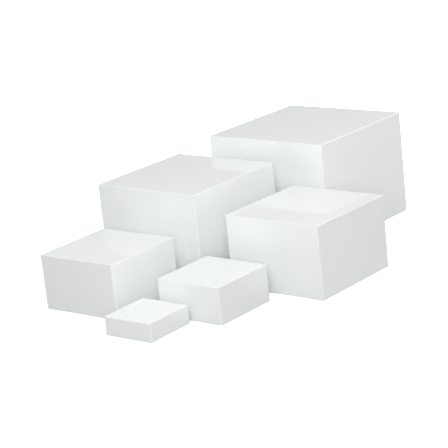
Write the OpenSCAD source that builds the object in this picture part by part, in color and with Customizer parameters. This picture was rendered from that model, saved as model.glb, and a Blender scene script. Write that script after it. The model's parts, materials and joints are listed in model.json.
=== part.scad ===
// A set of low display cubes in white gloss acrylic, from 8 inches down to 3 inches wide.
// Each cube is a square box with no bottom, made of five pieces of sheet: a top and four
// walls. Their meeting edges are mitred at 45 degrees and cemented, and the outer edges
// are then eased and polished. Each cube is one inch smaller than the one before it in
// width and in height, so the whole set nests under the largest for storage.
// Here the cubes stand apart on a table, as they are set out for a display.
// Millimetres, +Z up. The origin is on the table, at the middle of the set's footprint.

/* [Cubes] */
// Width and depth of the 8 inch cube
largest_w = 203.2; // [200:0.1:206]
// Height of the 8 inch cube
largest_h = 152.4; // [145:0.1:160]
// How much narrower and lower each next cube is
size_step = 25.4; // [25:0.1:25.8]

/* [Sheet] */
// Thickness of the acrylic sheet
sheet_t = 3.175; // [2.5:0.005:4.5]
// Radius of the eased outer edges
edge_r = 0.9; // [0.5:0.1:2]

/* [7 inch cube's place, from the 8 inch cube's centre] */
// Distance to the left
cube_7in_left = 211; // [210:0.5:213]
// Distance to the back
cube_7in_back = 59.5; // [57.5:0.5:61.5]
// Turn on the table, in degrees
cube_7in_turn = -0.1; // [-1.5:0.1:1.5]

/* [6 inch cube's place, from the 8 inch cube's centre] */
// Distance to the left
cube_6in_left = 216; // [214:0.5:218]
// Distance to the back, negative towards the front
cube_6in_back = -151; // [-153:0.5:-149]
// Turn on the table, in degrees
cube_6in_turn = -0.1; // [-1.5:0.1:1.5]

/* [5 inch cube's place, from the 8 inch cube's centre] */
// Distance to the left
cube_5in_left = 397.5; // [395.5:0.5:399.5]
// Distance to the back
cube_5in_back = 49; // [47:0.5:51]
// Turn on the table, in degrees
cube_5in_turn = 1; // [-1.5:0.1:1.5]

/* [4 inch cube's place, from the 8 inch cube's centre] */
// Distance to the left
cube_4in_left = 370.5; // [368.5:0.5:372.5]
// Distance to the back, negative towards the front
cube_4in_back = -109; // [-111:0.5:-107]
// Turn on the table, in degrees
cube_4in_turn = 0; // [-1.5:0.1:1.5]

/* [3 inch cube's place, from the 8 inch cube's centre] */
// Distance to the left
cube_3in_left = 469; // [467:0.5:471]
// Distance to the back, negative towards the front
cube_3in_back = -77; // [-79:0.5:-75]
// Turn on the table, in degrees
cube_3in_turn = 1.3; // [-1.5:0.1:1.5]

/* [Hidden] */
$fn = 64;
WHITE = [0.93, 0.94, 0.935];

// Each display cube, or riser: nominal width in inches, its centre's x and y, its turn.
RISERS = [
    [8, 0, 0, 0],
    [7, -cube_7in_left, cube_7in_back, cube_7in_turn],
    [6, -cube_6in_left, cube_6in_back, cube_6in_turn],
    [5, -cube_5in_left, cube_5in_back, cube_5in_turn],
    [4, -cube_4in_left, cube_4in_back, cube_4in_turn],
    [3, -cube_3in_left, cube_3in_back, cube_3in_turn]
];
LARGEST_INCHES = 8;

// The walls' names, and how far each faces round from the front.
WALLS = [["front_wall", 0], ["right_wall", 90], ["back_wall", 180], ["left_wall", 270]];

function inches(riser) = riser[0];
function turn(riser) = riser[3];
function steps_down(riser) = LARGEST_INCHES - inches(riser);
function width(riser) = largest_w - steps_down(riser) * size_step;
function height(riser) = largest_h - steps_down(riser) * size_step;

// How far a turned riser's walls reach along x or y from its centre, corners eased.
function half_core(riser) = width(riser) / 2 - edge_r;
function spread(riser) = cos(turn(riser)) + abs(sin(turn(riser)));
function half_reach(riser) = half_core(riser) * spread(riser) + edge_r;
function low_edge(axis) = min([for (riser = RISERS) riser[1 + axis] - half_reach(riser)]);
function high_edge(axis) = max([for (riser = RISERS) riser[1 + axis] + half_reach(riser)]);
MIDDLE = [for (axis = [0, 1]) (low_edge(axis) + high_edge(axis)) / 2];

function node_name(riser, piece) = str("cube_", inches(riser), "in_", piece);
PIECES = concat(["top"], [for (side = WALLS) side[0]]);

// How far a cutting shape reaches past the faces that it doesn't cut.
PAST = 1;

// A cross-section of sheet with both edges mitred, down to a depth below the x axis,
// where its outer face is.
module mitred_both_edges(length, depth) {
    polygon([
        [-length / 2 - PAST, PAST],
        [length / 2 + PAST, PAST],
        [length / 2 - depth, -depth],
        [-length / 2 + depth, -depth]
    ]);
}

// A cross-section of a wall, whose outer face is on the y axis, mitred at its top edge.
module mitred_top_edge(length) {
    polygon([
        [-PAST, -PAST],
        [sheet_t, -PAST],
        [sheet_t, length - sheet_t],
        [-PAST, length + PAST]
    ]);
}

// The block that a whole riser fills, its upright and upper edges eased.
module eased_block(w, h) {
    core = w - 2 * edge_r;
    shoulder = h - edge_r;
    translate([-core / 2, -core / 2, 0]) cube([core, core, h]);
    for (quarter = [0, 90, 180, 270])
        rotate([0, 0, quarter]) {
            translate([-core / 2, -w / 2, 0]) cube([core, w / 2, shoulder]);
            translate([core / 2, -core / 2, 0]) cylinder(r = edge_r, h = shoulder);
            translate([core / 2, -core / 2, shoulder]) sphere(r = edge_r);
            translate([-core / 2, -core / 2, shoulder])
                rotate([0, 90, 0]) cylinder(r = edge_r, h = core);
        }
}

// The top: a square of sheet mitred on all four edges, which is what is left where two
// lengths of sheet with mitred edges cross.
module top(riser) {
    w = width(riser);
    h = height(riser);
    color(WHITE)
    intersection() {
        eased_block(w, h);
        translate([0, 0, h])
            rotate([90, 0, 0]) linear_extrude(height = w + 2 * PAST, center = true)
                mitred_both_edges(w, sheet_t);
        translate([0, 0, h])
            rotate([90, 0, 90]) linear_extrude(height = w + 2 * PAST, center = true)
                mitred_both_edges(w, sheet_t + PAST);
    }
}

// A wall: mitred at both ends and at the top, and square where it stands on the table.
// It is made as the front wall, then turned to its own side.
module wall(riser, facing) {
    w = width(riser);
    h = height(riser);
    color(WHITE)
    rotate([0, 0, facing])
    intersection() {
        eased_block(w, h);
        translate([0, -w / 2, -PAST])
            mirror([0, 1, 0]) linear_extrude(height = h + 2 * PAST)
                mitred_both_edges(w, sheet_t + PAST);
        translate([0, -w / 2, 0])
            rotate([90, 0, 90]) linear_extrude(height = w + 2 * PAST, center = true)
                mitred_top_edge(h);
    }
}

// Puts a piece of a riser where that riser stands.
module placed(riser) {
    translate([riser[1] - MIDDLE[0], riser[2] - MIDDLE[1], 0])
        rotate([0, 0, turn(riser)]) children();
}

for (riser = RISERS) {
    placed(riser) top(riser);
    for (side = WALLS)
        placed(riser) wall(riser, side[1]);
}
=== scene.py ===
"""Looks for a set of six open-bottomed display cubes in white gloss acrylic.

Every piece of sheet is a mesh of its own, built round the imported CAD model: eased and
polished outer edges, a hairline at each mitred joint, a router-cut base rim, and the
slight bow of real cast sheet.
"""
import json
import math
import random

import bpy
from mathutils import Matrix, Vector

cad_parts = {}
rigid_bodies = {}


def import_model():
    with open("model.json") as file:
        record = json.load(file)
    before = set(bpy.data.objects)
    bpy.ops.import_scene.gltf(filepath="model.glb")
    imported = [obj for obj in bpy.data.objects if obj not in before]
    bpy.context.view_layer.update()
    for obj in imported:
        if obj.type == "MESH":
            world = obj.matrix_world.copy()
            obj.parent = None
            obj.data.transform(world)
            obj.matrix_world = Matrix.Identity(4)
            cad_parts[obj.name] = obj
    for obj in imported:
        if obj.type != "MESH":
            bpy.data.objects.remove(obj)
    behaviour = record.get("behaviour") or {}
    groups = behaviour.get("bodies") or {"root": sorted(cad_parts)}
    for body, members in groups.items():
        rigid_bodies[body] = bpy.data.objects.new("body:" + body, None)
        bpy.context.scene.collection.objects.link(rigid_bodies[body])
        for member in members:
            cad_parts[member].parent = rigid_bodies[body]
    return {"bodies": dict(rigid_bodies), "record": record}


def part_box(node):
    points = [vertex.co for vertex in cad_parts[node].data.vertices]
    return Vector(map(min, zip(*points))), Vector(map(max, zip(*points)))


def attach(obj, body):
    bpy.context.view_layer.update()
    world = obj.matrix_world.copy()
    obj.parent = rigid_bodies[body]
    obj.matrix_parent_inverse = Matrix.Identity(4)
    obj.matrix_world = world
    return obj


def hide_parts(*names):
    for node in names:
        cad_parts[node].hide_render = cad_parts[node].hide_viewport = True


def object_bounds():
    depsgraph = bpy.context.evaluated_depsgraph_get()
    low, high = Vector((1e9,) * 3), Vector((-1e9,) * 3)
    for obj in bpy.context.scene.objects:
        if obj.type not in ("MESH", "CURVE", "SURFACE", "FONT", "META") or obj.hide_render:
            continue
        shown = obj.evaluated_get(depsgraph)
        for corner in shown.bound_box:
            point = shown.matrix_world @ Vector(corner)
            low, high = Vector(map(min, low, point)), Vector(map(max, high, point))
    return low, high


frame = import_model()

cad_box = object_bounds()
record = frame["record"]
MM = 0.001

# --- The sheet -----------------------------------------------------------------------
EDGE_R = 0.9 * MM        # the eased outer edges, as the CAD model has them
SEAM = 0.08 * MM         # half the width of the hairline where two mitred edges meet
RIM_R = 0.3 * MM         # the sanded arris round the outside of the base rim
INNER_RIM_R = 0.15 * MM  # and round its inside
CELL = 8 * MM            # grid spacing over the flat of a sheet
SUPPORT = 0.4 * MM       # distance of the grid line that holds an eased edge crisp
ARC_STEPS = 6            # grid cells from the flat to the middle of an eased edge
BOW = 0.9 * MM           # bow of a sheet for each metre of its width
RIPPLE = 0.02 * MM       # height of the slow ripple in cast sheet
LEAST_BOW = 0.5          # the flattest sheet's share of that bow
SLOW_WAVES = (3.1, 2.3)  # the ripple's two wave trains, in radians over half a sheet
QUICK_WAVES = (6.7, 5.9)
QUICK_SHARE = 0.5        # the quicker train's height beside the slower one's
RIM_SHARES = (0.02, 0.05, 0.095)  # grid lines round the outer arris, in thicknesses
MITRE = 45               # degrees
CREASE = 30              # edges sharper than this many degrees are shaded as creases

WALLS = {"front_wall": 0, "right_wall": 90, "back_wall": 180, "left_wall": 270}


def mount(name):
    """Where one of the record's mounts is."""
    found = [m for m in record["mounts"] if m["name"] == name]
    return Vector(found[0]["pos_m"])


def sheet_thickness():
    low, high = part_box("cube_8in_front_wall")
    return high.y - low.y


THICKNESS = sheet_thickness()


class Cube:
    """One display cube's place and size, from its mounts."""

    def __init__(self, body):
        size = body.split("_")[1]
        self.body = body
        self.centre = mount(f"display_face_{size}")
        self.height = self.centre.z
        self.centre.z = 0
        front = mount(f"base_rim_{size}") - self.centre
        self.half = front.length + THICKNESS / 2
        self.turn = math.atan2(front.x, -front.y)

    def place(self, facing):
        turned = Matrix.Rotation(self.turn + math.radians(facing), 4, "Z")
        return Matrix.Translation(self.centre) @ turned


# --- Sheet meshes --------------------------------------------------------------------
def clamp(value, limit):
    return max(-limit, min(limit, value))


def spaced(start, end):
    """Grid lines over a flat stretch, with one close to each end to hold it flat."""
    inner_start, inner_end = start + SUPPORT, end - SUPPORT
    cells = max(2, round((inner_end - inner_start) / CELL))
    between = [inner_start + (inner_end - inner_start) * k / cells for k in range(cells + 1)]
    return [start, *between, end]


def eased(core):
    """Grid lines from the flat's edge to the seam in the middle of an eased edge."""
    last = math.radians(MITRE) - SEAM / EDGE_R
    return [core + EDGE_R * math.tan(last * k / ARC_STEPS) for k in range(1, ARC_STEPS + 1)]


def across(half):
    """Grid lines from one mitred edge of a face to the other."""
    core = half - EDGE_R
    edge = eased(core)
    return [*[-x for x in reversed(edge)], *spaced(-core, core), *edge]


def upward(height):
    """Grid lines of a wall, from its base rim to its mitred top edge."""
    core = height - EDGE_R
    return [*spaced(RIM_R, core), *eased(core)]


def on_block(point, cube):
    """The point of the cube's eased outer surface that a point of the sharp one becomes."""
    limit = cube.half - EDGE_R
    core = Vector((
        clamp(point.x, limit), clamp(point.y, limit), min(point.z, cube.height - EDGE_R)
    ))
    return core + (point - core).normalized() * EDGE_R


def rim_profile():
    """Through the thickness of a wall: (share of the way in, height above the table)."""
    steps = []
    for share in RIM_SHARES:
        depth = share * THICKNESS
        rise = RIM_R - math.sqrt(max(0.0, RIM_R ** 2 - (RIM_R - depth) ** 2))
        steps.append((share, rise))
    steps.append((1 - INNER_RIM_R / THICKNESS, 0.0))
    return steps


def perimeter(columns, rows):
    """The grid's outline as (column, row), once round."""
    bottom = [(i, 0) for i in range(columns)]
    right = [(columns - 1, j) for j in range(1, rows)]
    top = [(i, rows - 1) for i in range(columns - 2, -1, -1)]
    left = [(0, j) for j in range(rows - 2, 0, -1)]
    return bottom + right + top + left


def sheet_wave(seed):
    """The slow bow and ripple of one sheet, for u and v from -1 to 1, still at its edges."""
    draw = random.Random(seed)
    bow = draw.choice((-1, 1)) * draw.uniform(LEAST_BOW, 1.0)
    phases = [draw.uniform(0, math.tau) for _ in range(4)]

    def wave(u, v, width):
        still = (1 - u * u) * (1 - v * v)
        slow = math.sin(SLOW_WAVES[0] * u + phases[0]) * math.sin(SLOW_WAVES[1] * v + phases[1])
        quick = math.sin(QUICK_WAVES[0] * u + phases[2]) * math.sin(QUICK_WAVES[1] * v + phases[3])
        ripple = slow + QUICK_SHARE * quick
        return still * (bow * BOW * width + ripple * RIPPLE)

    return wave


def sheet_mesh(name, cube, is_top):
    """A closed mesh of one sheet: outer grid, mitred or cut edges, inner grid."""
    full = cube.half
    columns = across(full)
    rows = across(full) if is_top else upward(cube.height)
    column_edges = [-full, *columns[1:-1], full]
    row_edges = [-full, *rows[1:-1], full] if is_top else [0.0, *rows[1:-1], cube.height]
    inward = (full - THICKNESS) / full
    downward = (cube.height - THICKNESS) / cube.height
    normal = Vector((0, 0, 1)) if is_top else Vector((0, -1, 0))
    wave = sheet_wave(name)
    middle = 0.0 if is_top else cube.height / 2
    reach = full if is_top else cube.height / 2

    def sharp(u, v):
        return Vector((u, v, cube.height)) if is_top else Vector((u, -full, v))

    def inner(i, j):
        u, v = column_edges[i], row_edges[j]
        if is_top:
            return Vector((u * inward, v * inward, cube.height - THICKNESS))
        return Vector((u * inward, -full + THICKNESS, max(v * downward, INNER_RIM_R)))

    def lift(i, j):
        u = clamp(columns[i] / (full - EDGE_R), 1)
        v = clamp((rows[j] - middle) / (reach - EDGE_R), 1)
        return normal * wave(u, v, 2 * full)

    n, m = len(columns), len(rows)
    verts, faces, cut = [], [], []
    for i in range(n):
        for j in range(m):
            verts.append(on_block(sharp(columns[i], rows[j]), cube) + lift(i, j))
    inner_start = len(verts)
    for i in range(n):
        for j in range(m):
            verts.append(inner(i, j) + lift(i, j))

    loop = perimeter(n, m)
    rings = [[i * m + j for i, j in loop]]
    for share, rise in rim_profile():
        ring = []
        for i, j in loop:
            edge = on_block(sharp(column_edges[i] if i in (0, n - 1) else columns[i],
                                  row_edges[j] if j in (0, m - 1) else rows[j]), cube)
            point = edge.lerp(inner(i, j), share)
            if j == 0 and not is_top:
                point.z = rise
            ring.append(len(verts))
            verts.append(point)
        rings.append(ring)
    rings.append([inner_start + i * m + j for i, j in loop])

    for i in range(n - 1):
        for j in range(m - 1):
            a = i * m + j
            faces.append((a, a + m, a + m + 1, a + 1))
            b = inner_start + a
            faces.append((b, b + 1, b + m + 1, b + m))
    for outer_ring, next_ring in zip(rings, rings[1:]):
        for k in range(len(loop)):
            after = (k + 1) % len(loop)
            if not is_top and loop[k][1] == 0 and loop[after][1] == 0:
                cut.append(len(faces))
            faces.append((outer_ring[k], next_ring[k], next_ring[after], outer_ring[after]))

    mesh = bpy.data.meshes.new(name)
    mesh.from_pydata(verts, [], faces)
    mesh.polygons.foreach_set("use_smooth", [True] * len(faces))
    mesh.materials.append(WHITE_ACRYLIC)
    if cut:
        mesh.materials.append(CUT_EDGE)
    for k in cut:
        mesh.polygons[k].material_index = 1
    mesh.set_sharp_from_angle(angle=math.radians(CREASE))
    mesh.validate()
    mesh.update()
    return mesh


def add_sheet(cube, piece, facing, is_top):
    node = f"{cube.body}_{piece}"
    mesh = sheet_mesh(f"{node}_sheet", cube, is_top)
    mesh.transform(cube.place(facing))
    sheet = bpy.data.objects.new(f"{node}_sheet", mesh)
    bpy.context.scene.collection.objects.link(sheet)
    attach(sheet, cube.body)
    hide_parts(node)


# --- Materials -----------------------------------------------------------------------
class Nodes:
    """A material's node tree, built from the texture coordinates to the surface."""

    def __init__(self, name):
        self.material = bpy.data.materials.new(name)
        self.material.use_nodes = True
        self.tree = self.material.node_tree
        self.tree.nodes.clear()
        self.place = self.add("TexCoord").outputs["Object"]

    def add(self, kind, properties=None, **inputs):
        """Adds a node. An input is a number, a colour or another node's output."""
        node = self.tree.nodes.new(f"ShaderNode{kind}")
        for key, value in (properties or {}).items():
            setattr(node, key, value)
        for key, value in inputs.items():
            socket = node.inputs[int(key[1:]) if key[1:].isdigit() else key.replace("_", " ")]
            if isinstance(value, bpy.types.NodeSocket):
                self.tree.links.new(value, socket)
            else:
                socket.default_value = value
        return node

    def noise(self, per_metre, detail=2.0, place=None):
        """Cloudy noise round 0.5, with a number of clouds in each metre."""
        texture = self.add("TexNoise", Vector=place or self.place, Scale=per_metre, Detail=detail)
        return texture.outputs["Fac"]

    def stretched(self, x, y, z):
        """The object's coordinates, turned a little and squeezed along each axis."""
        mapping = self.add("Mapping", Vector=self.place, Rotation=GRAIN_TURN, Scale=(x, y, z))
        return mapping.outputs["Vector"]

    def math(self, operation, a, b=0.0):
        return self.add("Math", {"operation": operation}, i0=a, i1=b).outputs["Value"]

    def spread(self, value, low, high, new_low, new_high):
        """Maps a value's range from low..high onto a new one, and holds it there."""
        node = self.add("MapRange", Value=value, From_Min=low, From_Max=high,
                        To_Min=new_low, To_Max=new_high)
        return node.outputs["Result"]

    def hairlines(self, per_metre, width, place):
        """1 on thin wandering lines, which are contours of a noise, and 0 elsewhere."""
        height = self.math("MULTIPLY", self.noise(per_metre, 0.0, place), CONTOURS)
        contour = self.math("PINGPONG", height, 0.5)
        return self.spread(contour, 0.0, width, 1.0, 0.0)

    def mix_colour(self, share, a, b):
        node = self.add("Mix", {"data_type": "RGBA"}, Factor=share, i6=a, i7=b)
        return node.outputs[2]

    def bump(self, height, depth, normal=None):
        node = self.add("Bump", Height=height, Distance=depth)
        if normal:
            self.tree.links.new(normal, node.inputs["Normal"])
        return node.outputs["Normal"]

    def surface(self, colour, roughness, normal):
        shader = self.add("BsdfPrincipled", Base_Color=colour, Roughness=roughness,
                          Normal=normal, IOR=ACRYLIC_IOR)
        self.add("OutputMaterial", Surface=shader.outputs["BSDF"])
        return self.material


ACRYLIC_IOR = 1.49
WHITE = (0.917, 0.945, 0.938, 1)         # the pigment, a little cool
WHITE_CLOUD = (0.911, 0.939, 0.931, 1)   # where the pigment lies a little thinner
DUST = (0.72, 0.72, 0.70, 1)
CUT_DARK = (0.86, 0.885, 0.875, 1)       # the router-cut rim, in its marks
CUT_PALE = (0.91, 0.935, 0.925, 1)       # and between them

# A SCALE is the number of a pattern's features in each metre.
GRAIN_TURN = (0.5, 0.3, 0.4)     # turns stretched patterns off the sheets' own directions
CONTOURS = 9.0                   # height lines in a noise, which hairlines follow
CLOUD_SCALE = 9.0
SPECK_SCALE = 90.0
SPECK_EDGE = (0.012, 0.02)       # where a speck starts to fade, and where it ends
DUSTY_SCALE, DUSTY_ABOVE = 37.0, 0.6
DUST_COVER = 0.6                 # how far a speck hides the pigment
DUST_ROUGHNESS = 0.4
HAZE_SCALE, HAZE_DETAIL = 14.0, 4.0
HAZE_ROUGHNESS = (0.01, 0.03)    # wiped clean, and hazy
SCRATCH_SCALES = (11.0, 17.0)
SCRATCH_WIDTH = 0.006
SCRATCH_ROUGHNESS = 0.12
SCRATCH_DEPTH = 0.002 * MM
BROKEN_SCALE = 45.0              # what breaks the scratches into short lengths
WAVE_SCALE, WAVE_DEPTH = 16.0, 0.05 * MM
PEEL_SCALE, PEEL_DEPTH = 260.0, 0.002 * MM
CUT_SCALE, CUT_DETAIL, CUT_DEPTH = 420.0, 3.0, 0.02 * MM
CUT_ROUGHNESS = (0.32, 0.55)


def white_acrylic():
    """Cast white sheet, polished: faint clouds, dust, wiping haze and hairline scratches."""
    nodes = Nodes("white_gloss_acrylic")
    clouds = nodes.spread(nodes.noise(CLOUD_SCALE), 0.35, 0.65, 0.0, 1.0)
    pigment = nodes.mix_colour(clouds, WHITE, WHITE_CLOUD)

    specks = nodes.add("TexVoronoi", Vector=nodes.place, Scale=SPECK_SCALE, Randomness=1.0)
    near_speck = nodes.spread(specks.outputs["Distance"], *SPECK_EDGE, 1.0, 0.0)
    is_dusty = nodes.math("GREATER_THAN", nodes.noise(DUSTY_SCALE, 0.0), DUSTY_ABOVE)
    dust = nodes.math("MULTIPLY", near_speck, is_dusty)
    colour = nodes.mix_colour(nodes.math("MULTIPLY", dust, DUST_COVER), pigment, DUST)

    wiped = nodes.noise(HAZE_SCALE, HAZE_DETAIL, nodes.stretched(1.0, 3.0, 2.0))
    haze = nodes.spread(wiped, 0.4, 0.7, *HAZE_ROUGHNESS)
    lengthways, crossways = SCRATCH_SCALES
    scratches = nodes.math(
        "MAXIMUM",
        nodes.hairlines(lengthways, SCRATCH_WIDTH, nodes.stretched(1.0, 0.2, 0.4)),
        nodes.hairlines(crossways, SCRATCH_WIDTH, nodes.stretched(0.3, 1.0, 0.25)),
    )
    broken = nodes.spread(nodes.noise(BROKEN_SCALE, 2.0), 0.5, 0.6, 0.0, 1.0)
    scratches = nodes.math("MULTIPLY", scratches, broken)
    scratched = nodes.math("MULTIPLY", scratches, SCRATCH_ROUGHNESS)
    roughness = nodes.math("ADD", haze, scratched)
    roughness = nodes.math("ADD", roughness, nodes.math("MULTIPLY", dust, DUST_ROUGHNESS))

    waves = nodes.bump(nodes.noise(WAVE_SCALE, 1.0), WAVE_DEPTH)
    peel = nodes.bump(nodes.noise(PEEL_SCALE, 2.0), PEEL_DEPTH, waves)
    scored = nodes.bump(scratches, -SCRATCH_DEPTH, peel)
    return nodes.surface(colour, roughness, scored)


def cut_edge():
    """The base rim: cut by a router and sanded, so it has fine marks and no gloss."""
    nodes = Nodes("white_acrylic_cut_edge")
    marks = nodes.noise(CUT_SCALE, CUT_DETAIL, nodes.stretched(1.0, 1.0, 0.15))
    colour = nodes.mix_colour(marks, CUT_DARK, CUT_PALE)
    roughness = nodes.spread(marks, 0.3, 0.7, *CUT_ROUGHNESS)
    return nodes.surface(colour, roughness, nodes.bump(marks, CUT_DEPTH))


# --- Studio --------------------------------------------------------------------------
SURROUND = 0.34      # light that comes from the whole room
FLOOR_GREY = 0.3     # what the floor gives back to the set
FLOOR_SHOWN = 1.5    # the floor as the camera sees it: over 1, so that it is exposed to white
FLOOR_HALF = 6.0     # half the floor's side, in metres
FLOOR_DROP = 0.2 * MM        # how far the floor lies below the base rims
GLOW_START, GLOW_FULL = 0.4, 1.2  # from the middle, where the floor's glow starts and is full


def white_to_camera(tree, shown, lit):
    """Joins two shaders: one that the camera sees, and one that lights the set."""
    path = tree.nodes.new("ShaderNodeLightPath")
    mix = tree.nodes.new("ShaderNodeMixShader")
    tree.links.new(path.outputs["Is Camera Ray"], mix.inputs["Fac"])
    tree.links.new(lit.outputs[0], mix.inputs[1])
    tree.links.new(shown.outputs[0], mix.inputs[2])
    return mix.outputs["Shader"]


def grey_shader(tree, kind, value):
    node = tree.nodes.new(f"ShaderNode{kind}")
    node.inputs["Color"].default_value = (value, value, value, 1)
    return node


def studio_floor():
    """A pale table, exposed so far that only its deepest shadows show, and lit far away."""
    nodes = Nodes("studio_floor")
    away = nodes.add("VectorMath", {"operation": "LENGTH"}, i0=nodes.place).outputs["Value"]
    glow = nodes.spread(away, GLOW_START, GLOW_FULL, 0.0, 1.0)
    table = grey_shader(nodes.tree, "BsdfDiffuse", FLOOR_SHOWN)
    glowing = nodes.add("Emission", Strength=glow)
    shown = nodes.add("AddShader", i0=table.outputs["BSDF"], i1=glowing.outputs["Emission"])
    lit = grey_shader(nodes.tree, "BsdfDiffuse", FLOOR_GREY)
    nodes.add("OutputMaterial", Surface=white_to_camera(nodes.tree, shown, lit))
    mesh = bpy.data.meshes.new("studio_floor")
    quarters = [(-1, -1), (1, -1), (1, 1), (-1, 1)]
    corners = [(x * FLOOR_HALF, y * FLOOR_HALF, 0) for x, y in quarters]
    mesh.from_pydata(corners, [], [(0, 1, 2, 3)])
    mesh.materials.append(nodes.material)
    floor = bpy.data.objects.new("studio_floor", mesh)
    floor.location.z = -FLOOR_DROP
    bpy.context.scene.collection.objects.link(floor)


def studio_surroundings():
    world = bpy.data.worlds.new("studio")
    world.use_nodes = True
    tree = world.node_tree
    tree.nodes.clear()
    shown = grey_shader(tree, "Background", 1.0)
    lit = grey_shader(tree, "Background", SURROUND)
    out = tree.nodes.new("ShaderNodeOutputWorld")
    tree.links.new(white_to_camera(tree, shown, lit), out.inputs["Surface"])
    bpy.context.scene.world = world


# Softboxes: where each stands round the set, its distance, width and height in metres,
# and its power in watts. Azimuth and elevation are in degrees. Azimuth 0 is in front of
# the set, on the -Y side, and 90 is to its right, on the +X side.
SOFTBOXES = {
    "camera_fill": (-50, 16, 2.2, 0.6, 0.6, 11.5),
    "front_left": (-60, 30, 2.0, 1.2, 1.2, 9),
    "front_high": (-45, 55, 2.0, 1.4, 1.4, 13),
    "right_high": (45, 55, 2.0, 1.4, 1.4, 7),
    "right_strip": (70, 3, 1.6, 1.2, 0.25, 8.5),
    "back_high": (100, 38, 1.8, 1.0, 0.7, 3),
    "back": (132, 13, 2.4, 2.4, 1.1, 2),
    "back_strip": (160, 3, 1.6, 1.2, 0.25, 9),
    "left_strip": (190, 3, 1.6, 1.2, 0.25, 7),
}
AIM = Vector((0, 0, 0.05))  # what they all point at


def softbox(name, azimuth, elevation, distance, width, height, power):
    lamp = bpy.data.lights.new(name, "AREA")
    lamp.shape = "RECTANGLE"
    lamp.size, lamp.size_y = width, height
    lamp.energy = power
    light = bpy.data.objects.new(name, lamp)
    a, e = math.radians(azimuth), math.radians(elevation)
    back = Vector((math.sin(a) * math.cos(e), -math.cos(a) * math.cos(e), math.sin(e)))
    light.location = AIM + back * distance
    light.rotation_euler = back.to_track_quat("Z", "Y").to_euler()
    light.visible_camera = False
    bpy.context.scene.collection.objects.link(light)


# --- Camera --------------------------------------------------------------------------
# Where the camera stands from the middle of the set's footprint, which way it looks
# (0 along +Y), how far down, and how far it is tilted on its own axis.
CAMERA_AT = Vector((-1.7028, -1.4123, 0.6991))
CAMERA_YAW, CAMERA_DOWN, CAMERA_TILT = -49.455, 16.038, -6.124
CAMERA_LENS, SENSOR_WIDTH = 132.2, 36
NEAREST, FARTHEST = 0.05, 50


def add_camera():
    data = bpy.data.cameras.new("camera")
    data.lens = CAMERA_LENS
    data.sensor_width = SENSOR_WIDTH
    data.clip_start, data.clip_end = NEAREST, FARTHEST
    camera = bpy.data.objects.new("camera", data)
    low, high = cad_box
    footprint = Vector(((low.x + high.x) / 2, (low.y + high.y) / 2, low.z))
    turn = Matrix.Rotation(math.radians(CAMERA_YAW), 4, "Z")
    tip = Matrix.Rotation(math.radians(90 - CAMERA_DOWN), 4, "X")
    tilt = Matrix.Rotation(math.radians(CAMERA_TILT), 4, "Z")
    camera.matrix_world = Matrix.Translation(footprint + CAMERA_AT) @ turn @ tip @ tilt
    bpy.context.scene.collection.objects.link(camera)
    bpy.context.scene.camera = camera


# --- The set -------------------------------------------------------------------------
WHITE_ACRYLIC = white_acrylic()
CUT_EDGE = cut_edge()

for body in frame["bodies"]:
    cube = Cube(body)
    add_sheet(cube, "top", 0, True)
    for piece, facing in WALLS.items():
        add_sheet(cube, piece, facing, False)

studio_floor()
studio_surroundings()
for name, settings in SOFTBOXES.items():
    softbox(name, *settings)
add_camera()

scene = bpy.context.scene
scene.view_settings.view_transform = "Standard"
scene.view_settings.look = "None"
